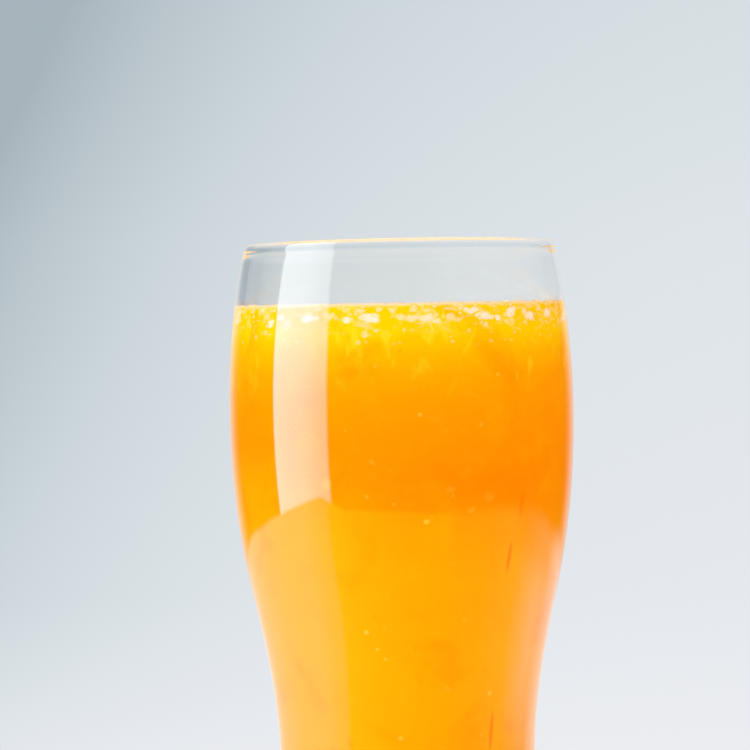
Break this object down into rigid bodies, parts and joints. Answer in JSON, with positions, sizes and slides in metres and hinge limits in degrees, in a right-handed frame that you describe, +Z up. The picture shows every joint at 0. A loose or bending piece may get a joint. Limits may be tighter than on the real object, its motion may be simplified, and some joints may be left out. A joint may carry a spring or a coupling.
{
  "type": "glass of orange juice",
  "caption": "Tall tulip-shaped clear glass on a thick foot, filled with orange juice to just below its rim, with a layer of bubbly froth on top.",
  "frame": {"origin": "middle of the foot, on the surface that the glass stands on", "axes": "+Z up along the glass's own axis, from the foot to the mouth"},
  "size_m": [0.084, 0.084, 0.168],
  "materials": {
    "clear_glass": "clear, smooth, colourless soda-lime glass",
    "orange_juice": "cloudy orange liquid with fine pulp, yellower near its top",
    "juice_froth": "yellow froth with pale cream bubbles"
  },
  "bodies": {
    "root": {"glass": "clear_glass", "juice": "orange_juice", "froth": "juice_froth"}
  },
  "joints": []
}
